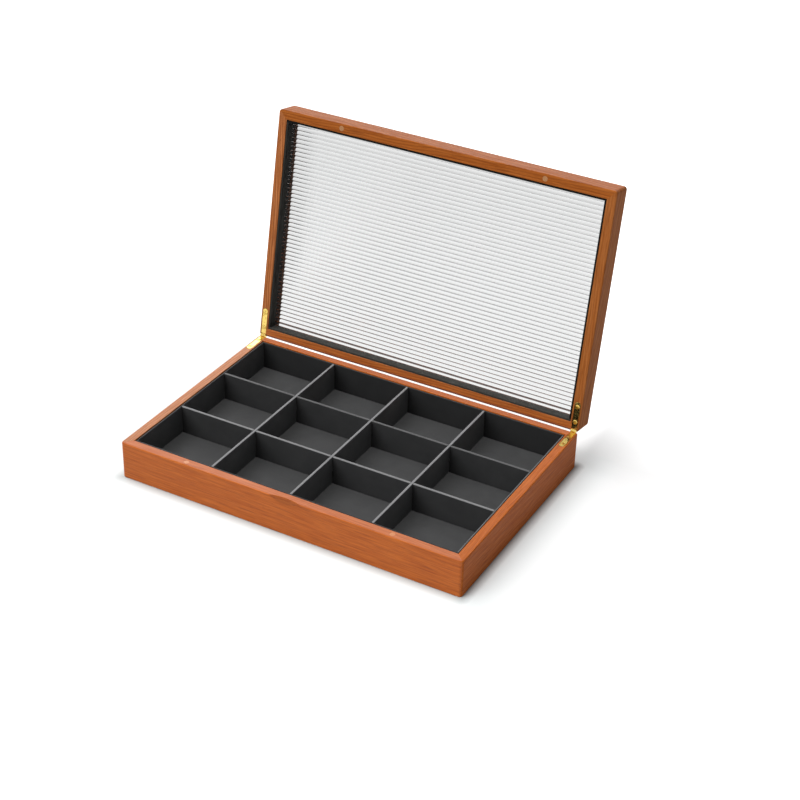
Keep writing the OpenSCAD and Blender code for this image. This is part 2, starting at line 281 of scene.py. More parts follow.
base_rails = {
    side: mitred_rail(
        base_size, side, bottom_high.x + bottom_fit - (base_size.x / 2 - rail_t), -MM, bottom_high.z
    )
    for side in RAIL_TURN
}
for side in ("right", "back", "left"):
    trim(base_rails[side], Vector((0, rear_y, base_size.z - base_chamfer)), Vector((0, 1, 1)))


# ---- Finger scoop ----
# A shallow hollow milled across the front rail's top outer edge with a large cutter, then sanded.

scoop_w = 35 * MM
scoop_in = 2.8 * MM
scoop_drop = 5.6 * MM

scoop_slope = math.hypot(scoop_in, scoop_drop)
scoop_depth = scoop_in * scoop_drop / scoop_slope
scoop_r = ((scoop_w / 2) ** 2 + scoop_depth**2) / (2 * scoop_depth)

scoop = bmesh.new()
bmesh.ops.create_cone(
    scoop, cap_ends=True, segments=256, radius1=scoop_r, radius2=scoop_r, depth=4 * scoop_slope
)
bmesh.ops.translate(scoop, vec=(0, scoop_depth - scoop_r, 0), verts=scoop.verts)
tilted = Matrix.Rotation(-math.atan2(scoop_in, scoop_drop), 3, "X")
bmesh.ops.rotate(scoop, cent=Vector(), matrix=tilted, verts=scoop.verts)
bmesh.ops.translate(scoop, vec=(0, -rear_y, base_size.z), verts=scoop.verts)
base_rails["front"] = combine(base_rails["front"], scoop, "DIFFERENCE")


def scoop_painted_shade(tree, on_bench):
    """The mask of painted shade in the scoop, darkening its upward slope, which would otherwise catch the
    sheen like the top.
    """
    axes = node(tree, "SeparateXYZ", {"Vector": on_bench}).outputs
    below = spread(tree, axes["Z"], base_size.z - 0.25 * MM, base_size.z - 0.5 * MM)
    behind = spread(tree, axes["Y"], 0.25 * MM - rear_y, 0.5 * MM - rear_y, 0, 0.3)
    beside = node(tree, "Math", {0: axes["X"]}, operation="ABSOLUTE").outputs[0]
    within = spread(tree, beside, scoop_w / 2, scoop_w / 2 - 2 * MM)
    return times(tree, within, times(tree, below, behind))


# ---- Seats for the hinges and magnets ----
# The hinge leaves are let into the side rails' rear ends, in mortises with a round end from the router.
# Two holes in the front rail take a magnet each, with a wooden plug on top.

leaf_w = 5.4 * MM
leaf_l = 29.6 * MM
leaf_t = 1.6 * MM
leaf_proud = 0.1 * MM
leaf_fit = 0.35 * MM
hole_fit = 0.05 * MM
hinge_x = (base_size.x - rail_t) / 2
HINGES = {"left": -hinge_x, "right": hinge_x}

plug_low, plug_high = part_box("base_magnet_plugs")
magnet_low, magnet_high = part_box("base_magnets")
plug_r = (plug_high.y - plug_low.y) / 2
magnet_x = plug_high.x - plug_r
magnet_y = (plug_high.y + plug_low.y) / 2


def round_ended_plate(x, front_y, back_y, width, low_z, high_z):
    """A plate with a half-round front end."""
    plate = block(Vector((x - width / 2, front_y, low_z)), Vector((x + width / 2, back_y, high_z)))
    front = [e for e in upright_edges(plate) if near(e.verts[0].co.y, front_y)]
    ease(plate, front, 0.4995 * width, steps=16)
    return plate


def disc(x, y, low_z, high_z, radius, steps=48):
    mesh = bmesh.new()
    bmesh.ops.create_cone(
        mesh, cap_ends=True, segments=steps, radius1=radius, radius2=radius, depth=high_z - low_z
    )
    bmesh.ops.translate(mesh, vec=(x, y, (low_z + high_z) / 2), verts=mesh.verts)
    return mesh


for side, x in HINGES.items():
    mortise = round_ended_plate(
        x, rear_y - leaf_l - leaf_fit, rear_y + MM, leaf_w + 2 * leaf_fit,
        base_size.z + leaf_proud - leaf_t, base_size.z + MM,
    )
    base_rails[side] = combine(base_rails[side], mortise, "DIFFERENCE")
for x in (-magnet_x, magnet_x):
    hole = disc(x, magnet_y, magnet_low.z, base_size.z + MM, plug_r + hole_fit)
    base_rails["front"] = combine(base_rails["front"], hole, "DIFFERENCE")

for side, wood in base_rails.items():
    lie = Matrix.Rotation(math.radians(RAIL_TURN[side]), 4, "Z")
    # Only the front rail gets painted shade, in its scoop.
    painted_shade = scoop_painted_shade if side == "front" else None
    finish = wood_finish(f"lacquered_base_{side}", lie, **BASE_BOARDS[side], painted_shade=painted_shade)
    piece(f"{side}_rail_of_base", wood, finish, "base", "frame_wood", f"base_{side}_rail")


# ---- Bottom panel ----
# A thin sanded board, left unlacquered, glued into the rebate under the rails.

panel_ease = 0.3 * MM


def board_finish(name):
    """Plain sanded board with a faint grain along X."""
    light, dark = (0.50, 0.31, 0.17), (0.36, 0.20, 0.10)
    material, tree, shader = new_finish(name, 0.7, IOR=1.4)
    place = node(tree, "TexCoord", {}).outputs["Object"]
    drawn_out = node(tree, "Mapping", {"Vector": place, "Scale": (0.05, 1, 1)}).outputs["Vector"]
    inputs = {"Vector": drawn_out, "Scale": 260, "Detail": 5, "Roughness": 0.6}
    grain = spread(tree, node(tree, "TexNoise", inputs).outputs["Fac"], 0.3, 0.7)
    tree.links.new(blend_colours(tree, grain, light, dark), shader.inputs["Base Color"])
    tree.links.new(spread(tree, grain, 0, 1, 0.62, 0.8), shader.inputs["Roughness"])
    bump = node(tree, "Bump", {"Height": grain, "Strength": 0.3, "Distance": 0.05 * MM})
    tree.links.new(bump.outputs["Normal"], shader.inputs["Normal"])
    return material


bottom = block(bottom_low, bottom_high)
ease(bottom, bottom.edges[:], panel_ease)
piece("bottom_board", bottom, board_finish("sanded_board"), "base", "panel_wood", "base_bottom_panel")


# ---- Tray ----
# A floor board and four lining boards, each covered in short-pile velvet. A narrow gap is left between
# the lining boards and the rails.

cloth_round = 0.45 * MM
tray_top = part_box("tray_lining_front")[1].z


def velvet_finish(name, deep, bright, edge_highlight, top_z, sheen):
    """Short-pile velvet: deep and bright are the pile's two leans, and the third colour is a painted
    highlight on its top edges.
    """
    nap_size, pile_size = 45, 3600
    material, tree, shader = new_finish(
        name, 0.6, IOR=1 + 5 * sheen,
        Sheen_Weight=sheen, Sheen_Roughness=0.3, Sheen_Tint=(0.9, 0.92, 0.95, 1),
    )
    place = node(tree, "TexCoord", {}).outputs["Object"]
    nap_inputs = {"Vector": place, "Scale": nap_size, "Detail": 4, "Roughness": 0.6, "Distortion": 0.4}
    nap = spread(tree, node(tree, "TexNoise", nap_inputs).outputs["Fac"], 0.3, 0.7)
    pile_inputs = {"Vector": place, "Scale": pile_size, "Detail": 2, "Roughness": 0.7}
    pile = spread(tree, node(tree, "TexNoise", pile_inputs).outputs["Fac"], 0.25, 0.75)
    tufted = node(tree, "Mix", {"Factor": 0.45, "A": nap, "B": pile}).outputs["Result"]
    toned = blend_colours(tree, tufted, deep, bright)
    height = node(tree, "SeparateXYZ", {"Vector": place}).outputs["Z"]
    # Painted highlight: just under top_z the colour turns to the edge colour, as if the top edges caught the
    # light.
    edge = spread(tree, height, top_z - 0.6 * MM, top_z - 0.1 * MM)
    tree.links.new(blend_colours(tree, edge, toned, edge_highlight), shader.inputs["Base Color"])
    tree.links.new(spread(tree, pile, 0, 1, 0.55, 0.65), shader.inputs["Roughness"])
    bump = node(tree, "Bump", {"Height": tufted, "Strength": 0.35, "Distance": 0.12 * MM})
    tree.links.new(bump.outputs["Normal"], shader.inputs["Normal"])
    return material


charcoal_deep, charcoal_bright = Vector((0.026, 0.0262, 0.027)), Vector((0.041, 0.0413, 0.042))
cool_grey = Vector((1, 1, 1.02))
tray_sheen = 0.07
# Painted light and shade: each lining board's velvet is made lighter or darker by how light falls on its
# visible face, and its top edge gets a painted highlight of its own, dimmest at the front.
wall_light_share = {"front": 1, "right": 1, "back": 0.65, "left": 2.1}
top_highlight = {"front": 0.02, "right": 0.11, "back": 0.035, "left": 0.03}


def covered_board(node_name):
    """A board of the CAD node's size, its cloth turned round every edge."""
    board = block(*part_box(node_name))
    ease(board, board.edges[:], cloth_round, steps=4)
    return board


floor_velvet = velvet_finish(
    "charcoal_velvet", charcoal_deep, charcoal_bright, charcoal_bright, tray_top, tray_sheen
)
floor_board = covered_board("tray_floor_board")
piece("velvet_floor", floor_board, floor_velvet, "base", "tray_velvet", "tray_floor_board")
for side in RAIL_TURN:
    edge_highlight = cool_grey * top_highlight[side]
    deep, bright = charcoal_deep * wall_light_share[side], charcoal_bright * wall_light_share[side]
    velvet = velvet_finish(f"{side}_charcoal_velvet", deep, bright, edge_highlight, tray_top, tray_sheen)
    board = covered_board(f"tray_lining_{side}")
    piece(f"{side}_lining_board", board, velvet, "base", "tray_velvet", f"tray_lining_{side}")


# ---- Dividers ----
# Velvet-covered boards that cross in half-height slots. The front-to-rear ones are slotted from below
# and lie over the left-to-right ones, which are slotted from above.

lap_fit = 0.3 * MM
dividers_short = sorted(n for n in frame["nodes"] if n.startswith("divider_short"))
dividers_long = sorted(n for n in frame["nodes"] if n.startswith("divider_long"))
floor_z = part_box("tray_floor_board")[1].z
lap_z = (floor_z + tray_top) / 2


def slotted(board, crossing, thickness, low_z, high_z):
    """The board with a slot where another one crosses it."""
    reach = Vector((1, 1, 0)) * (thickness / 2 + lap_fit)
    low, high = crossing - reach, crossing + reach
    slot = block(Vector((low.x, low.y, low_z)), Vector((high.x, high.y, high_z)))
    return combine(board, slot, "DIFFERENCE")


def middle(node_name):
    low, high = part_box(node_name)
    return (low + high) / 2


divider_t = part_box(dividers_long[0])[1].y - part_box(dividers_long[0])[0].y
# Painted light and shade: the short dividers' velvet is made lighter, as light falls on their visible faces,
# and every divider's top edge gets a painted highlight, dimmer on the second long divider, painted shade.
short_wall_light_share = 2.4
short_top_highlight = (0.20, 0.20, 0.205)
long_top_highlights = (0.19, 0.09)
short_velvet = velvet_finish(
    "highlit_charcoal_velvet", short_wall_light_share * charcoal_deep, short_wall_light_share * charcoal_bright,
    short_top_highlight, tray_top, tray_sheen,
)
long_velvet = {
    name: velvet_finish(
        f"{name}_velvet", charcoal_deep, charcoal_bright, cool_grey * tone, tray_top, tray_sheen
    )
    for name, tone in zip(dividers_long, long_top_highlights)
}
for name in dividers_short:
    board = covered_board(name)
    for other in dividers_long:
        crossing = Vector((middle(name).x, middle(other).y, 0))
        board = slotted(board, crossing, divider_t, floor_z - MM, lap_z + lap_fit)
    piece(f"{name}_board", board, short_velvet, "base", "tray_velvet", name)
for name in dividers_long:
    board = covered_board(name)
    for other in dividers_short:
        crossing = Vector((middle(other).x, middle(name).y, 0))
        board = slotted(board, crossing, divider_t, lap_z - lap_fit, tray_top + MM)
    piece(f"{name}_board", board, long_velvet[name], "base", "tray_velvet", name)


# ---- Base magnets ----
# Two small nickel-plated magnets, each pressed into its hole and hidden by a turned wooden plug
# of paler wood that is sanded flush.

plug_ease = 0.12 * MM


def nickel_finish(name):
    material, tree, shader = new_finish(name, 0.25, Metallic=1.0)
    place = node(tree, "TexCoord", {}).outputs["Object"]
    grime = node(tree, "TexNoise", {"Vector": place, "Scale": 900, "Detail": 3}).outputs["Fac"]
    colour = blend_colours(tree, grime, (0.62, 0.60, 0.56), (0.52, 0.50, 0.46))
    tree.links.new(colour, shader.inputs["Base Color"])
    tree.links.new(spread(tree, grime, 0.3, 0.7, 0.2, 0.35), shader.inputs["Roughness"])
    return material


def plug_finish(name, light, dark):
    """Pale turned wood with its end grain up, lacquered over with the rail."""
    material, tree, shader = new_finish(name, 0.34, IOR=1.38, Coat_Weight=0.15, Coat_Roughness=0.2)
    place = node(tree, "TexCoord", {}).outputs["Object"]
    speckle = node(tree, "TexNoise", {"Vector": place, "Scale": 1900, "Detail": 3}).outputs["Fac"]
    colour = blend_colours(tree, spread(tree, speckle, 0.35, 0.65), light, dark)
    tree.links.new(colour, shader.inputs["Base Color"])
    tree.links.new(spread(tree, speckle, 0.3, 0.7, 0.3, 0.42), shader.inputs["Roughness"])
    return material


nickel = nickel_finish("nickel_plate")
red_plug = plug_finish("reddened_plug_wood", (0.58, 0.20, 0.055), (0.50, 0.16, 0.035))
pale_plug = plug_finish("pale_plug_wood", (0.44, 0.21, 0.085), (0.32, 0.14, 0.05))


def gathered(makers):
    """One mesh of several, which stay loose from each other."""
    whole = bmesh.new()
    for mesh in makers:
        data = bpy.data.meshes.new("part")
        mesh.to_mesh(data)
        mesh.free()
        whole.from_mesh(data)
        bpy.data.meshes.remove(data)
    return whole


def plugs(low_z, high_z, radius):
    pair = gathered([disc(x, magnet_y, low_z, high_z, radius) for x in (-magnet_x, magnet_x)])
    ease(pair, level_edges(pair), plug_ease, steps=2)
    return pair


base_magnets = plugs(magnet_low.z, magnet_high.z, plug_r)
base_plugs = plugs(plug_low.z, plug_high.z, plug_r)
piece("magnets_in_base", base_magnets, nickel, "base", "magnet_steel", "base_magnets")
piece("plugs_in_base", base_plugs, red_plug, "base", "plug_wood", "base_magnet_plugs")


# ---- Base hinge leaves ----
# Polished brass leaves with two ears that take the pin. Each is held by two small countersunk screws.

lid_hinge = frame["joints"][0]
pivot = Vector(lid_hinge["pos_m"])
open_angle = math.radians(lid_hinge["range_deg"][1])
knuckle_r = 2 * MM
knuckle_ease = 0.05 * MM
knuckle_gap = 0.35 * MM
tongue_w = 1.8 * MM
tongue_gap = 0.12 * MM
pin_r = 0.8 * MM
pin_fit = 0.05 * MM
metal_ease = 0.15 * MM
screw_near, screw_far = 10 * MM, 25.2 * MM
head_r, shank_r, screw_l = 2.1 * MM, 1.0 * MM, 9 * MM
screw_fit = 0.16 * MM
slot_w, slot_depth = 0.55 * MM, 0.5 * MM
head_h = head_r - shank_r
base_leaf_top = base_size.z + leaf_proud


def brass_finish(name, roughness):
    """Polished brass with fine buffing marks and a trace of tarnish."""
    bright, tarnished = (0.86, 0.63, 0.18), (0.55, 0.35, 0.08)
    material, tree, shader = new_finish(name, roughness, Metallic=1.0)
    place = node(tree, "TexCoord", {}).outputs["Object"]
    patina = node(tree, "TexNoise", {"Vector": place, "Scale": 420, "Detail": 4}).outputs["Fac"]
    colour = blend_colours(tree, spread(tree, patina, 0.5, 0.8), bright, tarnished)
    tree.links.new(colour, shader.inputs["Base Color"])
    drawn_out = node(tree, "Mapping", {"Vector": place, "Scale": (1, 0.08, 1)}).outputs["Vector"]
    marks = node(tree, "TexNoise", {"Vector": drawn_out, "Scale": 6000, "Detail": 2}).outputs["Fac"]
    worn = spread(tree, marks, 0.3, 0.7, roughness - 0.04, roughness + 0.06)
    tree.links.new(worn, shader.inputs["Roughness"])
    bump = node(tree, "Bump", {"Height": marks, "Strength": 0.12, "Distance": 0.02 * MM})
    tree.links.new(bump.outputs["Normal"], shader.inputs["Normal"])
    return material


brass = brass_finish("polished_brass", 0.12)


def bar(x, radius, width, steps=40):
    """A round bar along the hinge's axis."""
    mesh = disc(0, 0, -width / 2, width / 2, radius, steps)
    bmesh.ops.rotate(mesh, cent=Vector(), matrix=Matrix.Rotation(math.radians(90), 3, "Y"), verts=mesh.verts)
    bmesh.ops.translate(mesh, vec=(x, pivot.y, pivot.z), verts=mesh.verts)
    return mesh


def turned(profile, steps=32):
    """A closed solid, turned about the Z axis from its profile of radius and height."""
    mesh = bmesh.new()
    verts = [mesh.verts.new((radius, 0, height)) for radius, height in profile]
    edges = [mesh.edges.new(pair) for pair in zip(verts, verts[1:])]
    bmesh.ops.spin(
        mesh, geom=verts + edges, cent=Vector(), axis=(0, 0, 1), dvec=Vector(),
        angle=math.tau, steps=steps, use_merge=True,
    )
    bmesh.ops.remove_doubles(mesh, verts=mesh.verts, dist=0.001 * MM)
    bmesh.ops.recalc_face_normals(mesh, faces=mesh.faces)
    return mesh


def countersink():
    """The room for one screw whose head is flush at zero height."""
    rim = head_r + screw_fit
    rim_z = -0.25 * MM
    return turned([
        (0, MM), (rim, MM), (rim, rim_z),
        (shank_r, rim_z - head_h), (shank_r, -screw_l), (0, -screw_l),
    ])


def wood_screw():
    """A cross-slotted screw with a lightly domed head, its rim just below zero height."""
    rim_z, crown_z = -0.22 * MM, 0.08 * MM
    dome = [(head_r * math.sin(a), rim_z + (crown_z - rim_z) * math.cos(a)) for a in
            [math.radians(15 * step) for step in range(6)]]
    profile = dome + [
        (head_r, rim_z - 0.05 * MM), (shank_r, rim_z - head_h),
        (shank_r, 2 * shank_r - screw_l), (0, -screw_l),
    ]
    screw = turned(profile)
    for reach in ((0.72 * head_r, slot_w / 2), (slot_w / 2, 0.72 * head_r)):
        corner = Vector((*reach, 0))
        blade = block(-corner + Vector((0, 0, -slot_depth)), corner + Vector((0, 0, MM)))
        screw = combine(screw, blade, "DIFFERENCE")
    return screw


def moved(mesh, x, y, z, flipped=False):
    """The mesh at a place, upside down if flipped."""
    if flipped:
        bmesh.ops.rotate(mesh, cent=Vector(), matrix=Matrix.Rotation(math.pi, 3, "X"), verts=mesh.verts)
    bmesh.ops.translate(mesh, vec=(x, y, z), verts=mesh.verts)
    return mesh


for side, x in HINGES.items():
    leaf = round_ended_plate(x, rear_y - leaf_l, pivot.y, leaf_w, base_leaf_top - leaf_t, base_leaf_top)
    ease(leaf, edges_where(leaf, lambda at: near(at.z, base_leaf_top)), metal_ease, steps=2)
    leaf = combine(leaf, bar(x, knuckle_r, leaf_w - 2 * knuckle_ease), "UNION")
    slot_reach = Vector((tongue_w / 2 + tongue_gap, knuckle_r + knuckle_gap, 5 * MM))
    room = block(Vector((x, pivot.y, pivot.z)) - slot_reach, Vector((x, pivot.y, pivot.z)) + slot_reach)
    leaf = combine(leaf, room, "DIFFERENCE")
    leaf = combine(leaf, bar(x, pin_r + pin_fit, leaf_w + MM), "DIFFERENCE")
    for from_rear in (screw_near, screw_far):
        leaf = combine(leaf, moved(countersink(), x, rear_y - from_rear, base_leaf_top), "DIFFERENCE")
    piece(f"{side}_base_leaf", leaf, brass, "base", "polished_brass", f"hinge_base_leaf_{side}")

base_screws = gathered([
    moved(wood_screw(), x, rear_y - from_rear, base_leaf_top)
    for x in HINGES.values()
    for from_rear in (screw_near, screw_far)
])
piece("screws_in_base", base_screws, brass, "base", "polished_brass", "base_hinge_screws")


# ---- Hinge pins ----
# Short brass rods, riveted in the ears, on which the lid's tongues turn.

for side, x in HINGES.items():
    pin = bar(x, pin_r, leaf_w)
    ease(pin, [e for e in pin.edges if near(e.verts[0].co.x, e.verts[1].co.x)], metal_ease, steps=2)
    piece(f"{side}_pin", pin, brass, "base", "polished_brass", f"hinge_pin_{side}")


# ---- Lid frame ----
# Four more mitred rails. They are made as if the lid were shut and then swung open about the hinge pins.
# A groove in their inner faces holds the clear panel, and the wall above it is darkened nearly black,
# painted shade.
# The lower rear edge is chamfered like the base's.

lid_chamfer = 2.8 * MM
# Painted light: the lid tints are darker than the base's, painted shade, and lifted in green and blue, a
# painted sheen; the lower shine of some lid rails paints shade on their sheen.
LID_BOARDS = {
    "front": {"plank": 8.0, "tone_and_painted_light": (0.78, 0.91, 1.55), "figure": 0.45, "shine": 1.16},
    "right": {"plank": 9.3, "tone_and_painted_light": (0.78, 1.05, 2.60), "figure": 0.30, "shine": 1.09},
    "back": {"plank": 10.9, "tone_and_painted_light": (0.88, 1.06, 2.00), "figure": 0.45, "shine": 1.42},
    "left": {"plank": 12.2, "tone_and_painted_light": (0.96, 1.41, 4.80), "figure": 0.70, "shine": 1.08},
}
hinge_recess = knuckle_r + knuckle_gap


def shut_box(node_name):
    """The lowest and highest corners that a lid node has with the lid shut."""
    shut = Matrix.Translation(pivot) @ Matrix.Rotation(open_angle, 4, "X") @ Matrix.Translation(-pivot)
    points = [shut @ vert.co for vert in frame["nodes"][node_name].data.vertices]
    return Vector(map(min, zip(*points))), Vector(map(max, zip(*points)))


def swung(mesh):
    """The mesh, made with the lid shut, turned to the open lid."""
    bmesh.ops.rotate(mesh, cent=pivot, matrix=Matrix.Rotation(-open_angle, 3, "X"), verts=mesh.verts)
    return mesh


lid_low, lid_high = shut_box("lid_front_rail")
pane_low, pane_high = shut_box("lid_reeded_panel")
pane_fit = 0.3 * MM
lid_size = Vector((base_size.x, base_size.y, lid_high.z - lid_low.z))
groove_depth = pane_high.x + pane_fit - (base_size.x / 2 - rail_t)
lid_leaf_bottom = lid_low.z - leaf_proud

lid_rails = {
    side: mitred_rail(
        lid_size, side, groove_depth, pane_low.z - lid_low.z, pane_high.z + pane_fit - lid_low.z
    )
    for side in RAIL_TURN
}
for wood in lid_rails.values():
    bmesh.ops.translate(wood, vec=(0, 0, lid_low.z), verts=wood.verts)
for side in ("right", "back", "left"):
    trim(lid_rails[side], Vector((0, rear_y, lid_low.z + lid_chamfer)), Vector((0, 1, -1)))
for side, x in HINGES.items():
    mortise = round_ended_plate(
        x, rear_y - leaf_l - leaf_fit, rear_y + MM, leaf_w + 2 * leaf_fit,
        lid_low.z - MM, lid_leaf_bottom + leaf_t,
    )
    mortise = combine(mortise, bar(x, hinge_recess, leaf_w + 2 * knuckle_gap), "UNION")
    lid_rails[side] = combine(lid_rails[side], mortise, "DIFFERENCE")
lid_magnet_low, lid_magnet_high = shut_box("lid_magnets")
for x in (-magnet_x, magnet_x):
    hole = disc(x, magnet_y, lid_low.z - MM, lid_magnet_high.z, plug_r + hole_fit)
    lid_rails["front"] = combine(lid_rails["front"], hole, "DIFFERENCE")


def opening_painted_shade(inner_y):
    """The mask of painted shade on the wall above the panel, darkest next to it, in a rail whose inner face
    lies at this Y on the bench.
    """
    def mask(tree, on_bench):
        axes = node(tree, "SeparateXYZ", {"Vector": on_bench}).outputs
        inside = spread(tree, axes["Y"], inner_y - 0.5 * MM, inner_y - 0.1 * MM)
        above = spread(tree, axes["Z"], pane_high.z, pane_high.z + 0.5 * MM)
        fading = spread(tree, axes["Z"], pane_high.z + 3 * MM, lid_high.z, 1, 0.8)
        return times(tree, inside, times(tree, above, fading))
    return mask


for side, wood in lid_rails.items():
    opened = Matrix.Translation(pivot) @ Matrix.Rotation(-open_angle, 4, "X") @ Matrix.Translation(-pivot)
    lie = opened @ Matrix.Rotation(math.radians(RAIL_TURN[side]), 4, "Z")
    inner_y = rail_t - (lid_size.y if side in ("front", "back") else lid_size.x) / 2
    finish = wood_finish(f"lacquered_lid_{side}", lie, **LID_BOARDS[side], painted_shade=opening_painted_shade(inner_y))
    piece(f"{side}_rail_of_lid", swung(wood), finish, "lid", "frame_wood", f"lid_{side}_rail")


# ---- Reeded panel ----
# One clear moulded sheet, held in the lid's groove. It is smooth inside, and straight reeds with round
# crests run across its outer face from left to right.

reed_pitch = 4.2 * MM
reed_h = 0.8 * MM
reed_steps = 10


def clear_finish(name):
    """Clear moulded sheet with the faint waviness of a pressed surface."""
    material, tree, shader = new_finish(
        name, 0.02, IOR=1.49, Transmission_Weight=1.0, Specular_Tint=(0.3, 0.3, 0.3, 1)
    )
    place = node(tree, "TexCoord", {}).outputs["Object"]
    waves = node(tree, "TexNoise", {"Vector": place, "Scale": 60, "Detail": 2}).outputs["Fac"]
    colour = blend_colours(tree, waves, (0.97, 0.985, 0.985), (0.99, 0.99, 0.99))
    tree.links.new(colour, shader.inputs["Base Color"])
    tree.links.new(spread(tree, waves, 0.3, 0.7, 0.01, 0.03), shader.inputs["Roughness"])
    bump = node(tree, "Bump", {"Height": waves, "Strength": 0.05, "Distance": 0.2 * MM})
    tree.links.new(bump.outputs["Normal"], shader.inputs["Normal"])
    return material


pane_size = pane_high - pane_low
reed_count = math.floor(pane_size.y / reed_pitch)
reeded_half = reed_count * reed_pitch / 2
reed_r = ((reed_pitch / 2) ** 2 + reed_h**2) / (2 * reed_h)

pane = bmesh.new()
bmesh.ops.create_grid(pane, x_segments=1, y_segments=reed_count * reed_steps, size=0.5)
bmesh.ops.scale(pane, vec=(pane_size.x, 2 * reeded_half, 1), verts=pane.verts)
for end in (-1, 1):
    last_edge = edges_where(pane, lambda at: near(at.y, end * reeded_half))
    margin = bmesh.ops.extrude_edge_only(pane, edges=last_edge)["geom"]
    for vert in [part for part in margin if isinstance(part, bmesh.types.BMVert)]:
        vert.co.y = end * pane_size.y / 2
for vert in pane.verts:
    past_groove = (vert.co.y + reeded_half + reed_pitch / 2) % reed_pitch - reed_pitch / 2
    off_crest = reed_pitch / 2 - abs(past_groove)
    rise = reed_r - math.sqrt(reed_r**2 - off_crest**2)
    vert.co.z = pane_high.z - (rise if abs(vert.co.y) < reeded_half else reed_h)
smooth_side = bmesh.ops.extrude_face_region(pane, geom=pane.faces[:], use_keep_orig=True)["geom"]
for vert in [part for part in smooth_side if isinstance(part, bmesh.types.BMVert)]:
    vert.co.z = pane_low.z
bmesh.ops.recalc_face_normals(pane, faces=pane.faces)
piece("reeded_pane", swung(pane), clear_finish("clear_sheet"), "lid", "reeded_clear", "lid_reeded_panel")


# ---- Lid lining ----
# Four narrow velvet-covered strips that line the inside of the lid's rails, up to the clear panel.

# Painted light and shade: each strip's velvet tone is set by how light falls on it, near black on the front
# and right strips and lighter on the back and left ones. The edge height lies far above, so no top edge is
# highlit.
strip_light_tone = {"front": 0.006, "right": 0.006, "back": 0.037, "left": 0.027}
warm_grey = Vector((1.06, 1, 0.88))
strip_sheen = 0.03
no_highlight_z = 1.0

for side in RAIL_TURN:
    deep, bright = (warm_grey * share * strip_light_tone[side] for share in (0.6, 1.4))
    lid_velvet = velvet_finish(f"{side}_black_velvet", deep, bright, bright, no_highlight_z, strip_sheen)
    strip = block(*shut_box(f"lid_lining_{side}"))
    ease(strip, strip.edges[:], cloth_round, steps=4)
    piece(f"{side}_lining_strip", swung(strip), lid_velvet, "lid", "lid_velvet", f"lid_lining_{side}")


# ---- Lid magnets ----
# The partners of the base's magnets, pressed into the lid's front rail and plugged in the same way.

lid_plug_low, lid_plug_high = shut_box("lid_magnet_plugs")
lid_magnets = plugs(lid_magnet_low.z, lid_magnet_high.z, plug_r)
lid_plugs = plugs(lid_plug_low.z, lid_plug_high.z, plug_r)
piece("magnets_in_lid", swung(lid_magnets), nickel, "lid", "magnet_steel", "lid_magnets")
piece("plugs_in_lid", swung(lid_plugs), pale_plug, "lid", "plug_wood", "lid_magnet_plugs")


# ---- Lid hinge leaves ----
# The other half of each hinge: a leaf with one tongue that fits between the ears, and the same two screws.

tongue_front_y = pivot.y - knuckle_r - knuckle_gap

for side, x in HINGES.items():
    leaf = round_ended_plate(
        x, rear_y - leaf_l, tongue_front_y, leaf_w, lid_leaf_bottom, lid_leaf_bottom + leaf_t
    )
    ease(leaf, edges_where(leaf, lambda at: near(at.z, lid_leaf_bottom)), metal_ease, steps=2)
    neck_half = tongue_w / 2 - knuckle_ease
    tongue = block(
        Vector((x - neck_half, tongue_front_y - MM, lid_leaf_bottom + knuckle_ease)),
        Vector((x + neck_half, pivot.y, lid_leaf_bottom + leaf_t - knuckle_ease)),
    )
    leaf = combine(leaf, tongue, "UNION")
    leaf = combine(leaf, bar(x, knuckle_r, tongue_w), "UNION")
    leaf = combine(leaf, bar(x, pin_r + pin_fit, leaf_w), "DIFFERENCE")
    for from_rear in (screw_near, screw_far):
        sink = moved(countersink(), x, rear_y - from_rear, lid_leaf_bottom, flipped=True)
        leaf = combine(leaf, sink, "DIFFERENCE")
    piece(f"{side}_lid_leaf", swung(leaf), brass, "lid", "polished_brass", f"hinge_lid_leaf_{side}")

lid_screws = gathered([
    moved(wood_screw(), x, rear_y - from_rear, lid_leaf_bottom, flipped=True)
    for x in HINGES.values()
    for from_rear in (screw_near, screw_far)
])
piece("screws_in_lid", swung(lid_screws), brass, "lid", "polished_brass", "lid_hinge_screws")


# ---- Studio ----
# A pale floor and surround that show white, and two large soft lamps: one at the front left and one high
# at the left. A third one behind only puts a sheen on the faces that look up. The floor glows, to stay
# white, and glows less close to the box, so that a soft shadow is left round its foot; near the foot its
# colour is also cooler and darker, painted shade. It glows more far from the box and behind it, painted
# light that washes out the shadows there. Through the panel, the floor and the room show a painted glow
# instead of their lit colour, dimmer with distance, painted shade that draws the reeds' lines.

floor_size = 8.0
floor_colour, contact_shade_colour = (0.60, 0.60, 0.60), (0.555, 0.60, 0.604)
floor_glow, far_glow, gap_glow, rear_glow = 0.39, 0.54, 0.30, 0.28
contact_start, contact_end = 10 * MM, 45 * MM
foot_end = 9 * MM
far_start, far_end = 90 * MM, 125 * MM
side_fade = 15 * MM
gap_start, gap_end = 15 * MM, 35 * MM
rear_start, rear_end = 25 * MM, 80 * MM
mirror_start, pool_end, mist_end = 0.45, 0.62, 1.6
through_start = 0.40
through_near, through_far, through_fall = 0.91, 0.80, -0.18
room_level, room_through = 0.25, 0.62
key_from, key_level, key_spread = Vector((-0.38, -0.69, 0.61)), 0.63, math.radians(45)
top_from, top_level, top_spread = Vector((-0.42, -0.04, 0.91)), 0.56, math.radians(42)
sheen_from, sheen_level, sheen_spread = Vector((-0.40, 0.75, 0.53)), 0.52, math.radians(50)

view_azimuth, view_elevation, view_roll = math.radians(28.345), math.radians(31.72), math.radians(1.625)
view_distance = 1637.5 * MM
view_shift = Vector((45.03, 66.13, 0)) * MM
lens, sensor = 79.48, 36.0


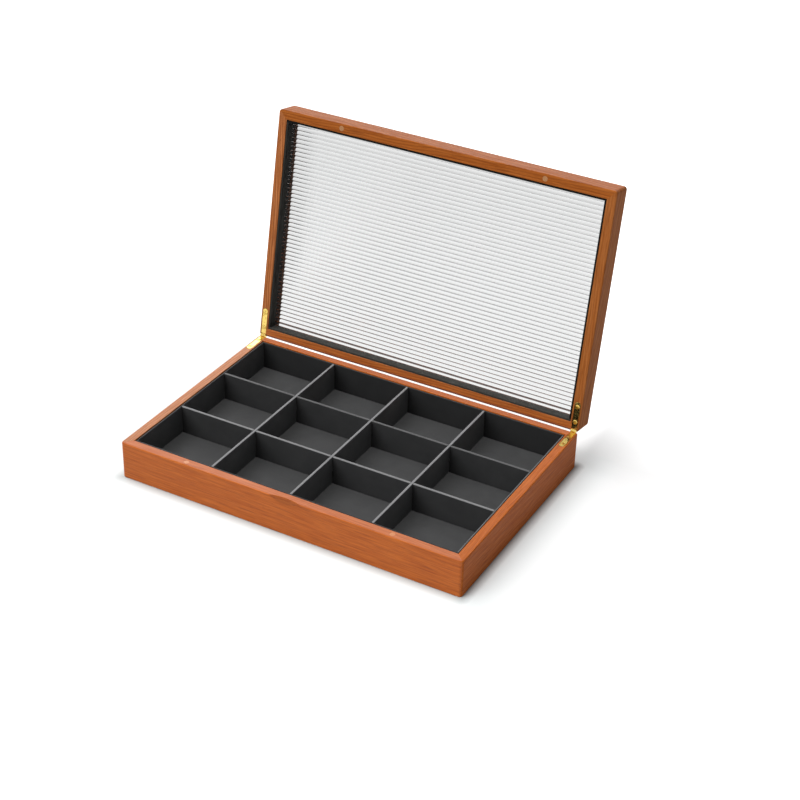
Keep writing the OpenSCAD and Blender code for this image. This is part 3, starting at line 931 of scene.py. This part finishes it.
def seen(tree, through):
    """One for a ray from the camera or a reflection, this share for one through the panel, else nothing."""
    rays = node(tree, "LightPath", {}).outputs
    inputs = {"Factor": rays["Is Transmission Ray"], "A": rays["Is Glossy Ray"], "B": through}
    bent = node(tree, "Mix", inputs).outputs["Result"]
    return node(tree, "Math", {0: rays["Is Camera Ray"], 1: bent}, operation="MAXIMUM").outputs[0]


def soft_lamp(name, direction, level, spread_angle, sheen_only=False):
    """A wide, far lamp. A face turned straight to it is lit by the level."""
    lamp = bpy.data.lights.new(name, "SUN")
    lamp.angle = spread_angle
    lamp.energy = level * math.pi
    made = bpy.data.objects.new(name, lamp)
    bpy.context.scene.collection.objects.link(made)
    made.rotation_euler = direction.to_track_quat("Z", "Y").to_euler()
    made.visible_camera = False
    made.visible_transmission = False
    made.visible_diffuse = not sheen_only
    made.visible_glossy = sheen_only
    lamp.use_shadow = not sheen_only


soft_lamp("key_lamp", key_from, key_level, key_spread)
soft_lamp("top_lamp", top_from, top_level, top_spread)
soft_lamp("sheen_lamp", sheen_from, sheen_level, sheen_spread, sheen_only=True)

ground = bmesh.new()
bmesh.ops.create_grid(ground, x_segments=1, y_segments=1, size=floor_size / 2)
ground_data = bpy.data.meshes.new("studio_floor")
ground.to_mesh(ground_data)
ground.free()
studio_floor = bpy.data.objects.new("studio_floor", ground_data)
bpy.context.scene.collection.objects.link(studio_floor)
paper = bpy.data.materials.new("studio_paper")
paper.use_nodes = True
ground_data.materials.append(paper)
tree = paper.node_tree
tree.nodes.clear()
place = node(tree, "TexCoord", {}).outputs["Object"]
away = node(tree, "VectorMath", {0: place}, operation="LENGTH").outputs["Value"]
spot = node(tree, "VectorMath", {0: place}, operation="ABSOLUTE").outputs[0]
past_box = node(tree, "VectorMath", {0: spot, 1: base_size / 2}, operation="SUBTRACT").outputs[0]
outside = node(tree, "VectorMath", {0: past_box, 1: Vector()}, operation="MAXIMUM").outputs[0]
gap = node(tree, "VectorMath", {0: outside}, operation="LENGTH").outputs["Value"]
# Painted shade: near the box the floor's colour turns cooler and darker.
tone_and_painted_light = blend_colours(tree, spread(tree, gap, contact_start, contact_end), contact_shade_colour, floor_colour)
matt = node(tree, "BsdfDiffuse", {"Color": tone_and_painted_light}).outputs[0]
nearby = spread(tree, away, mirror_start, pool_end, 1.0, 0.0)
# Painted shade: the glow fades to nothing at the box's foot.
at_box = spread(tree, gap, 0, foot_end, 0, floor_glow)
# Painted light: far from the box and behind it the floor glows more, washing out the shadows there.
further = spread(tree, gap, far_start, far_end, 0, far_glow - floor_glow)
sideways, rearward, _ = node(tree, "SeparateXYZ", {"Vector": place}).outputs
beside = node(tree, "Math", {0: sideways}, operation="ABSOLUTE").outputs[0]
screened = spread(tree, beside, base_size.x / 2, base_size.x / 2 - side_fade)
behind = spread(tree, rearward, rear_y + gap_start, rear_y + gap_end, 0, gap_glow)
well_behind = spread(tree, rearward, rear_y + rear_start, rear_y + rear_end, 0, rear_glow)
level = plus(tree, plus(tree, at_box, further), plus(tree, times(tree, screened, behind), well_behind))
glow_strength = times(tree, seen(tree, nearby), level)
glow = node(tree, "Emission", {"Color": (1, 1, 1, 1), "Strength": glow_strength}).outputs[0]
lit = node(tree, "AddShader", {0: matt, 1: glow}).outputs[0]
# Painted shade: rays through the panel see a glow that dims with distance, not the lit floor.
level_through = spread(tree, away, through_start, pool_end, through_near, through_far)
level_through = plus(tree, level_through, spread(tree, away, pool_end, mist_end, 0, through_fall))
painted_glow_through = node(tree, "Emission", {"Color": (1, 1, 1, 1), "Strength": level_through}).outputs[0]
bent = node(tree, "LightPath", {}).outputs["Is Transmission Ray"]
shown = node(tree, "MixShader", {0: bent, 1: lit, 2: painted_glow_through}).outputs[0]
node(tree, "OutputMaterial", {"Surface": shown})

room = bpy.data.worlds.new("studio_room")
room.use_nodes = True
bpy.context.scene.world = room
tree = room.node_tree
tree.nodes.clear()
# Through the panel the room also shows dimmer, painted shade.
strength = spread(tree, seen(tree, room_through), 0, 1, room_level, 1.0)
surround = node(tree, "Background", {"Color": (1, 1, 1, 1), "Strength": strength}).outputs[0]
node(tree, "OutputWorld", {"Surface": surround})

towards_view = Vector((
    math.sin(view_azimuth) * math.cos(view_elevation),
    -math.cos(view_azimuth) * math.cos(view_elevation),
    math.sin(view_elevation),
))
level_right = Vector((0, 0, 1)).cross(towards_view).normalized()
level_up = towards_view.cross(level_right)
right = math.cos(view_roll) * level_right + math.sin(view_roll) * level_up
up = -math.sin(view_roll) * level_right + math.cos(view_roll) * level_up
view_data = bpy.data.cameras.new("view")
view_data.lens = lens
view_data.sensor_width = sensor
view_data.clip_end = 20
view = bpy.data.objects.new("view", view_data)
bpy.context.scene.collection.objects.link(view)
view_place = view_shift.x * right + view_shift.y * up + view_distance * towards_view
view.matrix_world = Matrix.Translation(view_place) @ Matrix((right, up, towards_view)).transposed().to_4x4()
bpy.context.scene.camera = view
bpy.context.scene.view_settings.view_transform = "Standard"
